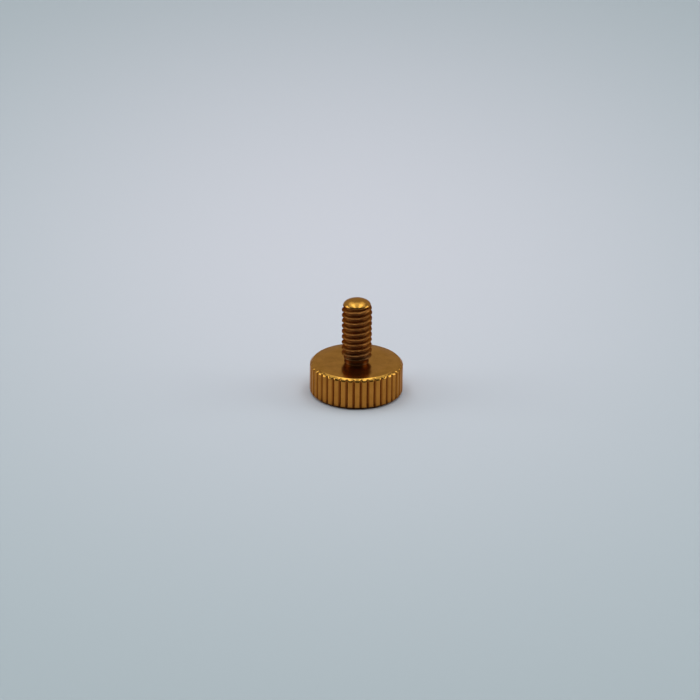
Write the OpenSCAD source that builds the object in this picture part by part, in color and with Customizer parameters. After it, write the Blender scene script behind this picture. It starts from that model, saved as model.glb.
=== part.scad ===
// Thumb screw with a straight-knurled round head, turned in one piece.
// It stands on the outer face of its head, on z = 0, and its shank points up along +Z.
// The shank is the plain blank at the thread's major diameter. The fine thread, with the
// short groove in which it runs out at the seat, lies inside that blank.

/* [Head] */
// Diameter over the knurled lands
head_d = 12.7; // [9:0.1:30]
// Height, from the outer face to the seat under the shank
head_h = 4.55; // [2.5:0.05:12]
// Chamfer at 45 degrees on both rims
rim_chamfer = 0.4; // [0.3:0.05:1]

/* [Knurl] */
// Number of straight grooves round the head
groove_count = 40; // [24:1:48]
// Width of a groove, across its mouth
groove_w = 0.5; // [0.2:0.05:0.55]
// Depth of a groove, from the lands to its root
groove_depth = 0.22; // [0.1:0.02:0.3]

/* [Shank] */
// Major diameter of the thread
thread_major = 4.14; // [2.5:0.01:4.6]
// Length, from the seat to the crown of the tip
shank_len = 9.2; // [5:0.1:30]
// Radius of the domed tip
tip_r = 3.1; // [2.35:0.05:6]
// Height of the 45-degree chamfer round the tip, from the crown to where it meets the shank
tip_chamfer = 0.9; // [0.5:0.05:1.2]

/* [Hidden] */
$fn = 128;

head_r = head_d / 2;
tip_z = head_h + shank_len;
// How far a cutter or a joined solid reaches past the face that it meets
reach = 0.1;

// The turned disc, with both rims chamfered
module head_blank() {
    rotate_extrude()
        polygon([
            [0, 0],
            [head_r - rim_chamfer, 0],
            [head_r, rim_chamfer],
            [head_r, head_h - rim_chamfer],
            [head_r - rim_chamfer, head_h],
            [0, head_h]
        ]);
}

// One groove's section: a V whose sides keep their slope past the lands
module groove_section() {
    mouth = groove_w / 2;
    flare = mouth * reach / groove_depth;
    polygon([
        [head_r - groove_depth, 0],
        [head_r + reach, -mouth - flare],
        [head_r + reach, mouth + flare]
    ]);
}

// The blank with its straight knurl; a land, not a groove, lies on each axis
module knurled_head() {
    difference() {
        head_blank();
        translate([0, 0, -reach])
            linear_extrude(head_h + 2 * reach)
                for (i = [0 : groove_count - 1])
                    rotate((i + 0.5) * 360 / groove_count)
                        groove_section();
    }
}

// The cylinder's end is cut by the cone of the chamfer and by the sphere of the tip
module shank() {
    ball_z = tip_z - tip_r;
    cone_z = tip_z - tip_chamfer;
    cone_r = thread_major / 2;
    intersection() {
        translate([0, 0, head_h - reach])
            cylinder(d = thread_major, h = shank_len + reach);
        union() {
            cylinder(r = tip_r, h = ball_z);
            translate([0, 0, ball_z])
                sphere(r = tip_r);
        }
        union() {
            cylinder(r = cone_r + reach, h = cone_z - reach);
            translate([0, 0, cone_z - reach])
                cylinder(r1 = cone_r + reach, r2 = 0, h = cone_r + reach);
        }
    }
}

module thumb_screw() {
    color([0.72, 0.5, 0.2])
        union() {
            knurled_head();
            shank();
        }
}

thumb_screw();
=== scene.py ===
"""Looks of the gold thumb screw: a knurled head and a threaded shank, turned in one piece.

Every length is in metres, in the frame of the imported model: z = 0 is the outer face of the
head, on which the screw stands, and the shank points up along +Z.
"""
import math

import bpy
from mathutils import Matrix, Vector


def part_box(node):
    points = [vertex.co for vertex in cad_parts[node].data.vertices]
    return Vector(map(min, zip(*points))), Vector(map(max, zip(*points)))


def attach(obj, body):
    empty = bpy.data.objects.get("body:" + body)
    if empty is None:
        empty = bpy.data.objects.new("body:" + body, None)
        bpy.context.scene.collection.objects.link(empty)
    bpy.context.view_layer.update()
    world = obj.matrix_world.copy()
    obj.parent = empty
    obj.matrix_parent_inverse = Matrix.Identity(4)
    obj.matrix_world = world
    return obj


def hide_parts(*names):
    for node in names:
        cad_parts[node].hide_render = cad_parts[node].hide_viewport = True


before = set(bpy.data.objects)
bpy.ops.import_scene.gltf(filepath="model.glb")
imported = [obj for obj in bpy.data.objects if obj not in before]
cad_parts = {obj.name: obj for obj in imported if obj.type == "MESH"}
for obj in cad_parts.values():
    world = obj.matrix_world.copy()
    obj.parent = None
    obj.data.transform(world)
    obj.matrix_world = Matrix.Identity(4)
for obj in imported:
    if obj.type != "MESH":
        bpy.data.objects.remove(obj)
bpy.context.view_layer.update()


# ---------------------------------------------------------------- thumb screw
# One piece of aluminium bar, faced and chamfered on a lathe, with a straight knurl rolled into
# the rim of its head and a No. 8-32 thread cut on its shank. It is dyed gold and anodised, so
# the turned faces keep their fine rings and the whole screw has one thin, clear, hard skin.
MM = 0.001
low, high = (Vector(corner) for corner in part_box("thumb_screw"))
head_r = (high.x - low.x) / 2
head_h = 4.55 * MM
rim_chamfer = 0.4 * MM
# The sharp edges of the rim are broken by this much
edge_break = 0.03 * MM

# The knurl's grooves are V-shaped, and each was rolled a little deeper or shallower than the next
groove_count = 40
groove_w = 0.5 * MM
groove_depth = 0.22 * MM
groove_columns = 12
shallowest, deepest = 0.88, 1.06
knurl_seed = 8

thread_r = 2.07 * MM
thread_pitch = 25.4 / 32 * MM
thread_depth = 0.6134 * thread_pitch
crest_flat = thread_pitch / 8
# Height over the seat at which the first crest passes the +X side
first_crest = 0.85 * MM
# Where the tool tore a crest, the crest lost no more than about half of this
tearing = 0.35 * MM
# The thread deepens over this height above the neck, and fades out over this one at the tip
run_in = 0.3 * MM
lead_in = 0.25 * MM

# The neck at the seat
neck_r = 1.65 * MM
neck_len = 0.5 * MM
neck_fillet = 0.05 * MM

# The tip: a shallow dome, a small shoulder round it, and the blank's narrow end below that,
# which widens to the thread's full size over the taper
tip_r = 3.1 * MM
shoulder_r = 0.8 * MM
lead_r = 1.94 * MM
blank_taper = 0.3 * MM
shoulder_turn = math.asin((lead_r - shoulder_r) / (tip_r - shoulder_r))
shoulder_z = high.z - tip_r + (tip_r - shoulder_r) * math.cos(shoulder_turn)

# The thread's rows run from the top of the neck's fillet to a little way up the shoulder
thread_low = head_h + 0.1 * MM
thread_start = 0.40 * MM
thread_high = shoulder_z + thread_start
# Where the thread meets the blank, their edge is rounded by this much
softening = 0.03 * MM


def outline_rows():
    """The half outline from the pole of the outer face to the pole of the tip.

    Each row is (radius, height, how far the knurl pushes it in, how far it then lifts it,
    whether the thread takes it over). The grooves run out on the chamfers, so a row on the
    edge between them slides along the chamfer as the groove deepens.
    """
    flat = head_r - rim_chamfer
    half = edge_break / math.sqrt(2)
    # The outer face and its chamfer
    rows = [(r, 0, 0, 0, 0) for r in (0, 0.25 * flat, 0.6 * flat, flat - edge_break)]
    rows.append((flat + half, half, 0, 0, 0))
    # The knurled side
    rows.append((head_r - half, rim_chamfer - half, 1, -1, 0))
    rows.append((head_r, rim_chamfer + edge_break, 1, -1, 0))
    side = head_h - 2 * rim_chamfer - 2 * edge_break
    for share in (0.08, 0.3, 0.7, 0.92):
        rows.append((head_r, rim_chamfer + edge_break + share * side, 1, 2 * share - 1, 0))
    rows.append((head_r, head_h - rim_chamfer - edge_break, 1, 1, 0))
    rows.append((head_r - half, head_h - rim_chamfer + half, 1, 1, 0))
    # The upper chamfer and the seat
    rows.append((flat + half, head_h - half, 0, 0, 0))
    rows.append((flat - edge_break, head_h, 0, 0, 0))
    foot_r = neck_r + neck_fillet
    rows += [(foot_r + share * (flat - foot_r), head_h, 0, 0, 0) for share in (0.6, 0.25)]
    # The fillet at the foot of the neck, and the neck
    for step in range(5):
        turn = math.radians(90 * step / 4)
        r = foot_r - neck_fillet * math.sin(turn)
        rows.append((r, head_h + neck_fillet * (1 - math.cos(turn)), 0, 0, 0))
    rows.append((neck_r, thread_low, 0, 0, 0))
    # The thread. The rows of one turn, as shares of the pitch from the middle of a crest, crowd
    # at the edges of the crest and of the root; more turns are tried than the shank has room for
    turn_rows = (0.060, 0.066, 0.18, 0.30, 0.405, 0.43, 0.57, 0.595, 0.70, 0.82, 0.934, 0.940)
    crest = head_h + first_crest
    for turn in range(-2, 12):
        for share in turn_rows:
            z = crest + (turn + share) * thread_pitch
            if thread_low - thread_pitch < z < thread_high:
                rows.append((thread_r, z, 0, 0, 1))
    # The shoulder above the thread, and the dome
    shoulder_start = math.acos(thread_start / shoulder_r)
    for step in range(6):
        lean = shoulder_start - (shoulder_start - shoulder_turn) * step / 6
        r = lead_r - shoulder_r + shoulder_r * math.sin(lean)
        rows.append((r, shoulder_z + shoulder_r * math.cos(lean), 0, 0, 0))
    for step in range(9):
        lean = shoulder_turn * (1 - step / 8)
        rows.append((tip_r * math.sin(lean), high.z - tip_r + tip_r * math.cos(lean), 0, 0, 0))
    return rows


def outline_mesh(rows):
    """The outline as loose points in order, with what the knurl and the thread do to each."""
    mesh = bpy.data.meshes.new("thumb_screw_outline")
    mesh.from_pydata([(r, 0, z) for r, z, *_ in rows], [], [])
    push = mesh.attributes.new("knurl_push", "FLOAT_VECTOR", "POINT")
    push.data.foreach_set("vector", [value for row in rows for value in (-row[2], 0, row[3])])
    threaded = mesh.attributes.new("threaded", "FLOAT", "POINT")
    threaded.data.foreach_set("value", [float(row[4]) for row in rows])
    return mesh


class Tree:
    """A node tree under construction: node adds one and feeds its inputs, and math adds a
    calculation and returns its result."""

    def __init__(self, tree):
        self.tree = tree

    def node(self, kind, inputs=None, **settings):
        made = self.tree.nodes.new(kind)
        for name, value in settings.items():
            setattr(made, name, value)
        for key, value in (inputs or {}).items():
            self.feed(made.inputs[key], value)
        return made

    def feed(self, socket, value):
        if isinstance(value, bpy.types.NodeSocket):
            self.tree.links.new(value, socket)
        else:
            socket.default_value = value

    def math(self, operation, *values):
        inputs = dict(enumerate(values))
        return self.node("ShaderNodeMath", inputs, operation=operation).outputs[0]

    def spread(self, value, low, high, to=(0.0, 1.0), smooth=False):
        """Carries value from the range low to high over to the range to, and no further."""
        ends = {"Value": value, "From Min": low, "From Max": high, "To Min": to[0], "To Max": to[1]}
        way = "SMOOTHSTEP" if smooth else "LINEAR"
        return self.node("ShaderNodeMapRange", ends, interpolation_type=way).outputs[0]

    def blend(self, share, tone, other):
        """The tone where share is 0, and the other tone where it is 1."""
        return self.node("ShaderNodeMix", {0: share, 6: tone, 7: other}, data_type="RGBA").outputs[2]


def screw_tree():
    """Turns the outline into the screw: a lathe of columns and rows, the knurl, the thread."""
    group = bpy.data.node_groups.new("turn_knurl_and_thread", "GeometryNodeTree")
    face = group.interface
    face.new_socket("Outline", in_out="INPUT", socket_type="NodeSocketGeometry")
    for name in ("Rows", "Grooves", "Columns per groove", "Seed"):
        face.new_socket(name, in_out="INPUT", socket_type="NodeSocketInt")
    for name in ("Groove width", "Groove depth", "Shallowest", "Deepest", "Head radius", "Pitch",
                 "Thread depth", "Crest flat", "Thread radius", "First crest", "Thread low",
                 "Thread high", "Run in", "Lead in", "Tearing", "Softening", "Neck radius",
                 "Neck top", "Lead radius", "Blank taper", "Shoulder foot", "Shoulder radius"):
        face.new_socket(name, in_out="INPUT", socket_type="NodeSocketFloat")
    face.new_socket("Material", in_out="INPUT", socket_type="NodeSocketMaterial")
    face.new_socket("Screw", in_out="OUTPUT", socket_type="NodeSocketGeometry")
    t = Tree(group)
    size = group.nodes.new("NodeGroupInput").outputs
    calc = t.math

    # A flat grid stands for the whole surface: one column for each step round, one row for each
    # point of the outline
    columns = calc("MULTIPLY", size["Grooves"], size["Columns per groove"])
    grid = t.node("GeometryNodeMeshGrid", {
        "Vertices X": calc("ADD", columns, 1), "Vertices Y": size["Rows"]})
    index = group.nodes.new("GeometryNodeInputIndex").outputs[0]
    row = calc("FLOORED_MODULO", index, size["Rows"])
    column = calc("FLOOR", calc("DIVIDE", calc("ADD", index, 0.5), size["Rows"]))

    def named(attribute, data_type):
        field = t.node("GeometryNodeInputNamedAttribute", {"Name": attribute}, data_type=data_type)
        return field.outputs[0]

    def of_row(value, data_type):
        """Reads a value at this row's point of the outline."""
        source = {"Geometry": size["Outline"], "Index": row, "Value": value}
        return t.node("GeometryNodeSampleIndex", source, data_type=data_type).outputs[0]

    place = of_row(group.nodes.new("GeometryNodeInputPosition").outputs[0], "FLOAT_VECTOR")
    push = of_row(named("knurl_push", "FLOAT_VECTOR"), "FLOAT_VECTOR")
    threaded = of_row(named("threaded", "FLOAT"), "FLOAT")

    # Columns crowd at the lips and the root of each groove, which is centred on share 0.5
    groove = calc("FLOOR", calc("DIVIDE", calc("ADD", column, 0.5), size["Columns per groove"]))
    step = calc("SUBTRACT", calc("DIVIDE", column, size["Columns per groove"]), groove)
    spacing = t.node("ShaderNodeFloatCurve", {"Value": step})
    curve = spacing.mapping.curves[0]
    curve.points[0].location = (0, 0)
    curve.points[1].location = (1, 1)
    to_root = ((1, 0.16), (2, 0.235), (3, 0.265), (4, 0.36), (5, 0.455), (6, 0.5))
    from_root = tuple((groove_columns - at, 1 - share) for at, share in to_root[:-1])
    for at, share in to_root + from_root:
        curve.points.new(at / groove_columns, share)
    for point in curve.points:
        point.handle_type = "VECTOR"
    spacing.mapping.update()
    share = spacing.outputs[0]
    turn = calc("DIVIDE", calc("ADD", groove, share), size["Grooves"])

    # The V of a groove, with a narrow flat at its root
    root_flat = 0.94
    pitch_len = calc("DIVIDE", calc("MULTIPLY", size["Head radius"], math.tau), size["Grooves"])
    aside = calc("MULTIPLY", calc("ABSOLUTE", calc("SUBTRACT", share, 0.5)), pitch_len)
    half_width = calc("DIVIDE", size["Groove width"], 2)
    vee = calc("SUBTRACT", 1, calc("DIVIDE", aside, half_width))
    vee = calc("MINIMUM", calc("MAXIMUM", vee, 0), root_flat)
    rolled = t.node("FunctionNodeRandomValue", {
        "Min": size["Shallowest"], "Max": size["Deepest"], "ID": groove, "Seed": size["Seed"]},
        data_type="FLOAT")
    rolled_out = [output for output in rolled.outputs if output.enabled][0]
    depth = calc("MULTIPLY", calc("MULTIPLY", vee, size["Groove depth"]), rolled_out)
    pushed = t.node("ShaderNodeVectorMath", {0: push, "Scale": depth}, operation="SCALE").outputs[0]
    knurled = t.node("ShaderNodeVectorMath", {0: place, 1: pushed}, operation="ADD").outputs[0]
    knurled = t.node("ShaderNodeSeparateXYZ", {0: knurled}).outputs
    radius, height = knurled["X"], knurled["Z"]

    # The thread's rows climb one pitch in a turn, and are held between the neck and the shoulder
    climbed = calc("MULTIPLY_ADD", turn, size["Pitch"], height)
    thread_z = calc("MAXIMUM", calc("MINIMUM", climbed, size["Thread high"]), size["Thread low"])
    crests_up = calc("DIVIDE", calc("SUBTRACT", thread_z, size["First crest"]), size["Pitch"])
    crests_up = calc("SUBTRACT", crests_up, turn)
    from_crest = calc("SUBTRACT", calc("FRACT", calc("ADD", crests_up, 0.5)), 0.5)
    from_crest = calc("MULTIPLY", calc("ABSOLUTE", from_crest), size["Pitch"])
    from_edge = calc("SUBTRACT", from_crest, calc("DIVIDE", size["Crest flat"], 2))
    flank = calc("MULTIPLY", from_edge, math.sqrt(3))
    over_neck = calc("SUBTRACT", thread_z, size["Neck top"])
    deepening = t.spread(over_neck, 0, size["Run in"], smooth=True)
    to_end = calc("DIVIDE", calc("SUBTRACT", size["Thread high"], thread_z), size["Lead in"])
    fading = t.spread(to_end, 0, 1, smooth=True)
    full = calc("MULTIPLY", calc("MULTIPLY", size["Thread depth"], deepening), fading)
    # The tool tore the crests here and there, where the noise rises over this level
    torn_over = 0.47
    angle = calc("MULTIPLY", turn, math.tau)
    east, north = calc("COSINE", angle), calc("SINE", angle)
    on_crest = t.node("ShaderNodeCombineXYZ", {
        0: calc("MULTIPLY", size["Thread radius"], east),
        1: calc("MULTIPLY", size["Thread radius"], north),
        2: thread_z}).outputs[0]
    tear = t.node("ShaderNodeTexNoise", {
        "Vector": on_crest, "Scale": 1800.0, "Detail": 3.0, "Roughness": 0.6})
    torn = calc("MULTIPLY", calc("SUBTRACT", tear.outputs[0], torn_over), size["Tearing"])
    cut = calc("MAXIMUM", calc("MAXIMUM", calc("MINIMUM", flank, full), torn), 0)
    thread = calc("SUBTRACT", size["Thread radius"], cut)
    # The blank rises at 45 degrees from the neck, narrows again below the tip, and then follows
    # the round of the shoulder
    run_out = calc("ADD", size["Neck radius"], calc("MAXIMUM", over_neck, 0))
    to_shoulder = calc("SUBTRACT", size["Shoulder foot"], thread_z)
    ends = (size["Lead radius"], size["Thread radius"])
    widened = t.spread(to_shoulder, 0, size["Blank taper"], to=ends)
    up_shoulder = calc("POWER", calc("MINIMUM", to_shoulder, 0), 2)
    fall = calc("SQRT", calc("SUBTRACT", calc("POWER", size["Shoulder radius"], 2), up_shoulder))
    fall = calc("SUBTRACT", size["Shoulder radius"], fall)
    blank = calc("MINIMUM", calc("SUBTRACT", widened, fall), run_out)
    thread_radius = calc("SMOOTH_MIN", thread, blank, size["Softening"])

    def chosen(plain, cut_value):
        pair = {0: threaded, 2: plain, 3: cut_value}
        return t.node("ShaderNodeMix", pair, data_type="FLOAT").outputs[0]

    radius = chosen(radius, thread_radius)
    height = chosen(height, thread_z)
    point = t.node("ShaderNodeCombineXYZ", {
        0: calc("MULTIPLY", radius, east), 1: calc("MULTIPLY", radius, north), 2: height}).outputs[0]
    placed = t.node("GeometryNodeSetPosition", {"Geometry": grid.outputs["Mesh"], "Position": point})
    # The seam down the side and both poles close where their points meet
    closed = t.node("GeometryNodeMergeByDistance", {
        "Geometry": placed.outputs[0], "Distance": 0.0001 * MM}).outputs[0]
    smooth = t.node("GeometryNodeSetShadeSmooth", {"Geometry": closed}).outputs[0]
    real = t.node("GeometryNodeRealizeInstances", {"Geometry": smooth}).outputs[0]
    finished = t.node("GeometryNodeSetMaterial", {"Geometry": real, "Material": size["Material"]})
    t.node("NodeGroupOutput", {0: finished.outputs[0]})
    return group


def gold_anodised():
    """Dyed, anodised aluminium with fine turning rings, and painted shade in the thread and in the
    knurl's grooves.
    """
    pale_dye = (0.57, 0.235, 0.041, 1)
    full_dye = (0.44, 0.175, 0.027, 1)
    # Painted shade in the knurl's grooves, and deeper painted shade at their feet by the floor
    groove_painted_shade = (0.23, 0.066, 0.010, 1)
    groove_foot_painted_shade = (0.11, 0.026, 0.004, 1)
    # Painted shade of the thread, with its crests painted lighter than its flanks
    thread_crest_painted_tone = (0.315, 0.108, 0.026, 1)
    thread_flank_painted_shade = (0.275, 0.088, 0.019, 1)
    thread_patch_dye = (0.13, 0.042, 0.012, 1)
    # Painted shade where the shank stands on the seat
    thread_foot_painted_shade = (0.145, 0.062, 0.025, 1)

    material = bpy.data.materials.new("gold_anodised")
    material.use_nodes = True
    tree = material.node_tree
    t = Tree(tree)
    shader = tree.nodes["Principled BSDF"]
    shader.inputs["Metallic"].default_value = 1.0
    place = tree.nodes.new("ShaderNodeTexCoord").outputs["Object"]
    xyz = t.node("ShaderNodeSeparateXYZ", {0: place}).outputs
    across = t.node("ShaderNodeCombineXYZ", {0: xyz["X"], 1: xyz["Y"]}).outputs[0]
    radius = t.node("ShaderNodeVectorMath", {0: across}, operation="LENGTH").outputs["Value"]
    round_way = t.node("ShaderNodeVectorMath", {0: across}, operation="NORMALIZE").outputs[0]

    # The tool left rings that lie across the radius on the faces and across the height on the
    # sides: broad soft ones a tenth of a millimetre apart, and fine ones over them
    feed = t.math("MULTIPLY_ADD", xyz["Z"], 0.6, radius)
    ring_place = t.node("ShaderNodeCombineXYZ", {2: t.math("MULTIPLY", feed, 9000)}).outputs[0]
    wander = t.node("ShaderNodeVectorMath", {0: round_way, "Scale": 0.7}, operation="SCALE").outputs[0]
    ring_place = t.node("ShaderNodeVectorMath", {0: ring_place, 1: wander}, operation="ADD").outputs[0]
    rings = t.node("ShaderNodeTexNoise", {
        "Vector": ring_place, "Scale": 1.0, "Detail": 4.0, "Roughness": 0.65}).outputs[0]

    # The dye took a little unevenly: soft clouds over a millimetre wide, and specks of a tenth
    clouds = t.node("ShaderNodeTexNoise", {
        "Vector": place, "Scale": 700.0, "Detail": 3.0, "Roughness": 0.6}).outputs[0]
    specks = t.node("ShaderNodeTexNoise", {
        "Vector": place, "Scale": 9000.0, "Detail": 2.0, "Roughness": 0.6}).outputs[0]
    mottle = t.math("MULTIPLY_ADD", specks, 0.4, t.math("MULTIPLY", clouds, 0.6))
    tone = t.node("ShaderNodeValToRGB", {0: mottle})
    tone.color_ramp.elements[0].position = 0.36
    tone.color_ramp.elements[0].color = full_dye
    tone.color_ramp.elements[1].position = 0.62
    tone.color_ramp.elements[1].color = pale_dye

    # The knurl's grooves are painted darker, as shade in them, and painted darkest at their feet next
    # to the floor
    in_groove = t.spread(radius, head_r, head_r - 0.13 * MM)
    on_side = t.spread(radius, head_r - 0.30 * MM, head_r - 0.26 * MM)
    under_rim = t.math("LESS_THAN", xyz["Z"], head_h - 0.9 * rim_chamfer)
    in_groove = t.math("MULTIPLY", t.math("MULTIPLY", in_groove, on_side), under_rim)
    groove_foot = t.spread(xyz["Z"], 1.0 * MM, 0.4 * MM)
    groove_tone = t.blend(groove_foot, groove_painted_shade, groove_foot_painted_shade)
    grooved = t.blend(in_groove, tone.outputs[0], groove_tone)

    # The thread is painted darker than the head, as shade in its grooves: its flanks darker than its
    # crests, and the whole darkest towards the seat. Over that, the dye lies in darker patches
    on_thread = t.spread(xyz["Z"], thread_high + 0.02 * MM, thread_high - 0.12 * MM)
    over_seat = t.math("GREATER_THAN", xyz["Z"], head_h + 0.002 * MM)
    on_thread = t.math("MULTIPLY", on_thread, over_seat)
    on_crest = t.spread(radius, thread_r - 0.22 * MM, thread_r - 0.01 * MM)
    thread_tone = t.blend(on_crest, thread_flank_painted_shade, thread_crest_painted_tone)
    patch = t.spread(clouds, 0.40, 0.62, to=(0.45, 0.0))
    thread_tone = t.blend(patch, thread_tone, thread_patch_dye)
    # Painted shade, deepest where the shank meets the seat
    by_seat = t.spread(xyz["Z"], head_h + 2.4 * MM, head_h + 0.5 * MM)
    thread_tone = t.blend(by_seat, thread_tone, thread_foot_painted_shade)
    t.feed(shader.inputs["Base Color"], t.blend(on_thread, grooved, thread_tone))
    # The dye takes back the white that bare metal would show at a glancing angle
    glancing = t.blend(on_thread, (0.80, 0.65, 0.55, 1), (0.50, 0.28, 0.16, 1))
    t.feed(shader.inputs["Specular Tint"], glancing)

    # The thread is rougher than the turned faces
    polish = t.spread(rings, 0, 1, to=(0.10, 0.28))
    t.feed(shader.inputs["Roughness"], t.math("MULTIPLY_ADD", on_thread, 0.20, polish))
    bump = t.node("ShaderNodeBump", {"Height": rings, "Strength": 0.35, "Distance": 0.012 * MM})
    t.feed(shader.inputs["Normal"], bump.outputs[0])
    return material


screw_finish = gold_anodised()
rows = outline_rows()
screw_source = bpy.data.objects.new("thumb_screw_source", outline_mesh(rows))
bpy.context.collection.objects.link(screw_source)
group = screw_tree()
lathe = screw_source.modifiers.new("turn_knurl_and_thread", "NODES")
lathe.node_group = group
sockets = [item for item in group.interface.items_tree if item.in_out == "INPUT"]
identifiers = {socket.name: socket.identifier for socket in sockets}
for name, value in {
    "Rows": len(rows), "Grooves": groove_count, "Columns per groove": groove_columns,
    "Seed": knurl_seed, "Groove width": groove_w, "Groove depth": groove_depth,
    "Shallowest": shallowest, "Deepest": deepest, "Head radius": head_r, "Pitch": thread_pitch,
    "Thread depth": thread_depth, "Crest flat": crest_flat, "Thread radius": thread_r,
    "First crest": head_h + first_crest, "Thread low": thread_low, "Thread high": thread_high,
    "Run in": run_in, "Lead in": lead_in, "Tearing": tearing, "Softening": softening,
    "Neck radius": neck_r, "Neck top": head_h + neck_len, "Lead radius": lead_r,
    "Blank taper": blank_taper, "Shoulder foot": shoulder_z, "Shoulder radius": shoulder_r,
    "Material": screw_finish,
}.items():
    lathe[identifiers[name]] = value
flats = screw_source.modifiers.new("flat_faces_lead", "WEIGHTED_NORMAL")
flats.weight = 50

evaluated = screw_source.evaluated_get(bpy.context.evaluated_depsgraph_get())
screw = bpy.data.objects.new("knurled_thumb_screw", bpy.data.meshes.new_from_object(evaluated))
bpy.context.collection.objects.link(screw)
bpy.data.objects.remove(screw_source)
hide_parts("thumb_screw")
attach(screw, "root")


# ---------------------------------------------------------------- floor
# A wide sheet of matt, cool white paper. It is a stage for the screw and not part of it, and it
# fades into one flat pale tone far off, so that no horizon shows.
backdrop_tone = (0.41, 0.475, 0.51, 1)


def paper():
    """White paper with a painted pool of light, brightest just behind the screw and painted gently
    darker towards its edges.
    """
    # Painted light: the paper's tone in the middle of the painted pool of light, and towards its edges
    bright = (0.715, 0.588, 0.608, 1)
    painted_dim_tone = (0.468, 0.444, 0.447, 1)
    bright_y = 0.055
    # How far off the painted pool of light fades: behind its brightest place, in front of it and to
    # its sides
    behind_fall, front_fall, side_fall = 0.12, 0.107, 0.069

    material = bpy.data.materials.new("white_paper")
    material.use_nodes = True
    tree = material.node_tree
    t = Tree(tree)
    shader = tree.nodes["Principled BSDF"]
    shader.inputs["Roughness"].default_value = 0.9
    shader.inputs["Specular IOR Level"].default_value = 0.0
    place = tree.nodes.new("ShaderNodeTexCoord").outputs["Object"]
    xyz = t.node("ShaderNodeSeparateXYZ", {0: place}).outputs
    past = t.math("SUBTRACT", xyz["Y"], bright_y)
    behind = t.math("DIVIDE", t.math("MAXIMUM", past, 0), behind_fall)
    before = t.math("DIVIDE", t.math("MINIMUM", past, 0), front_fall)
    along = t.math("ABSOLUTE", t.math("ADD", behind, before))
    aside = t.math("ABSOLUTE", t.math("DIVIDE", xyz["X"], side_fall))
    off = t.math("ADD", t.math("POWER", along, 2), t.math("POWER", aside, 2))
    in_painted_pool = t.math("EXPONENT", t.math("MULTIPLY", off, -1))
    t.feed(shader.inputs["Base Color"], t.blend(in_painted_pool, painted_dim_tone, bright))
    away = t.node("ShaderNodeVectorMath", {0: place}, operation="LENGTH").outputs["Value"]
    far = t.spread(away, 0.12, 0.40, smooth=True)
    tone = t.node("ShaderNodeEmission", {"Color": backdrop_tone}).outputs[0]
    faded = t.node("ShaderNodeMixShader", {0: far, 1: shader.outputs[0], 2: tone}).outputs[0]
    t.feed(tree.nodes["Material Output"].inputs["Surface"], faded)
    return material


reach = 6.0
corners = [(-reach, -reach, 0), (reach, -reach, 0), (reach, reach, 0), (-reach, reach, 0)]
floor_mesh = bpy.data.meshes.new("paper_floor")
floor_mesh.from_pydata(corners, [], [(0, 1, 2, 3)])
floor_mesh.materials.append(paper())
floor = bpy.data.objects.new("paper_floor", floor_mesh)
bpy.context.collection.objects.link(floor)


# ---------------------------------------------------------------- light
# A wide soft panel hangs overhead, with two brighter strips just under it that run from front to
# back, two small panels behind them and a large one on each side. Each is set by how bright its
# face looks, so that what the metal reflects can be judged against the paper.
def panel(name, centre, width, depth, glow, tint, shape="RECTANGLE", towards=(0, 0, 0)):
    """A soft panel whose face, turned towards a place, looks as bright as glow."""
    light = bpy.data.lights.new(name, "AREA")
    light.shape = shape
    light.size, light.size_y = width, depth
    area = width * depth * (math.pi / 4 if shape == "ELLIPSE" else 1)
    light.energy = glow * math.pi * area
    light.color = tint
    holder = bpy.data.objects.new(name, light)
    facing = (Vector(towards) - Vector(centre)).to_track_quat("-Z", "Y").to_matrix().to_4x4()
    holder.matrix_world = Matrix.Translation(centre) @ facing
    bpy.context.collection.objects.link(holder)


panel("overhead_panel", (0, 0.00, 0.40), 0.88, 0.44, 1.05, (0.74, 1, 1.05), "ELLIPSE")
for side in (-1, 1):
    x = 0.11 * side
    panel("strip_panel", (x, -0.05, 0.39), 0.10, 0.40, 2.15, (0.80, 1, 1.05), towards=(x, -0.05, 0))
    panel("back_panel", (0.17 * side, 0.26, 0.40), 0.14, 0.14, 1.05, (0.74, 1, 1.05))
panel("left_panel", (-0.62, 0.02, 0.23), 0.40, 0.36, 2.9, (0.78, 1, 1.03))
panel("right_panel", (0.62, 0.02, 0.23), 0.40, 0.36, 2.8, (0.78, 1, 1.03))


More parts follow.
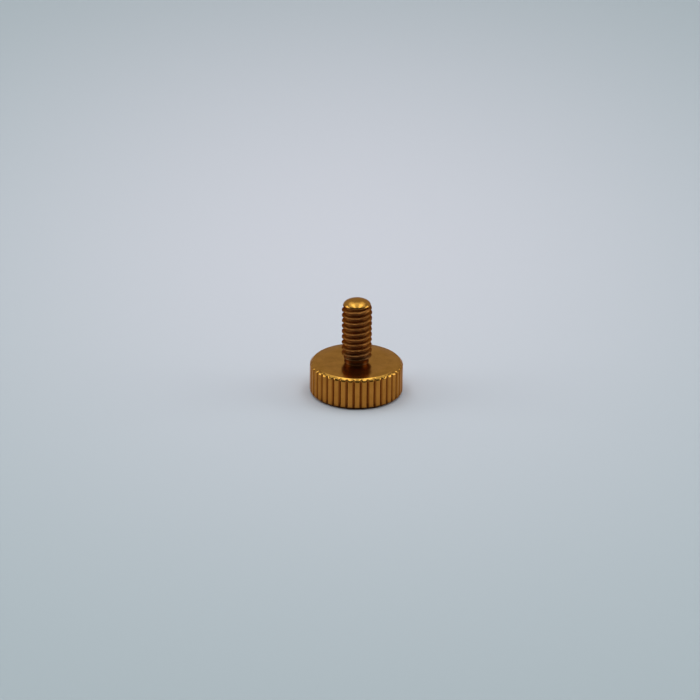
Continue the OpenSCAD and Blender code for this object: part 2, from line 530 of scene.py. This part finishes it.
def room():
    """The room behind the screw is pale and the room in front of it is dim."""
    world = bpy.data.worlds.new("room")
    world.use_nodes = True
    tree = world.node_tree
    t = Tree(tree)
    tree.nodes.clear()
    way = tree.nodes.new("ShaderNodeTexCoord").outputs["Generated"]
    depth = t.node("ShaderNodeSeparateXYZ", {0: way}).outputs["Y"]
    walls = t.node("ShaderNodeValToRGB", {0: t.math("MULTIPLY_ADD", depth, 0.5, 0.5)})
    walls.color_ramp.elements[0].position = 0.40
    walls.color_ramp.elements[0].color = (0.04, 0.045, 0.05, 1)
    walls.color_ramp.elements[1].position = 0.80
    walls.color_ramp.elements[1].color = (0.44, 0.50, 0.56, 1)
    lit = t.node("ShaderNodeBackground", {0: walls.outputs[0], 1: 1.0}).outputs[0]
    seen = t.node("ShaderNodeBackground", {0: backdrop_tone, 1: 1.0}).outputs[0]
    is_camera = tree.nodes.new("ShaderNodeLightPath").outputs["Is Camera Ray"]
    mixed = t.node("ShaderNodeMixShader", {0: is_camera, 1: lit, 2: seen}).outputs[0]
    t.node("ShaderNodeOutputWorld", {0: mixed})
    return world


bpy.context.scene.world = room()


# ---------------------------------------------------------------- camera
# A long lens looks down on the seat at about 24 degrees, nearly square to the head's front. The
# screw stands a little right of the middle of the view, and a little below it.
elevation = math.radians(23.85)
azimuth = math.radians(-1.34)
roll = math.radians(0.63)
distance = 0.682
seat = Vector((0, 0, head_h))
level = math.cos(elevation)
back = Vector((math.sin(azimuth) * level, -math.cos(azimuth) * level, math.sin(elevation)))
right = Vector((0, 0, 1)).cross(back).normalized()
up = back.cross(right)
aim = seat - 0.90 * MM * right + 1.46 * MM * up
camera_up = up * math.cos(roll) - right * math.sin(roll)
camera_right = camera_up.cross(back)
turned = Matrix((camera_right, camera_up, back)).transposed().to_4x4()
lens = bpy.data.cameras.new("camera")
lens.lens = 257
lens.sensor_width = 36
lens.clip_start, lens.clip_end = 0.01, 20
camera = bpy.data.objects.new("camera", lens)
camera.matrix_world = Matrix.Translation(aim + back * distance) @ turned
bpy.context.collection.objects.link(camera)
bpy.context.scene.camera = camera
bpy.context.scene.view_settings.view_transform = "Standard"
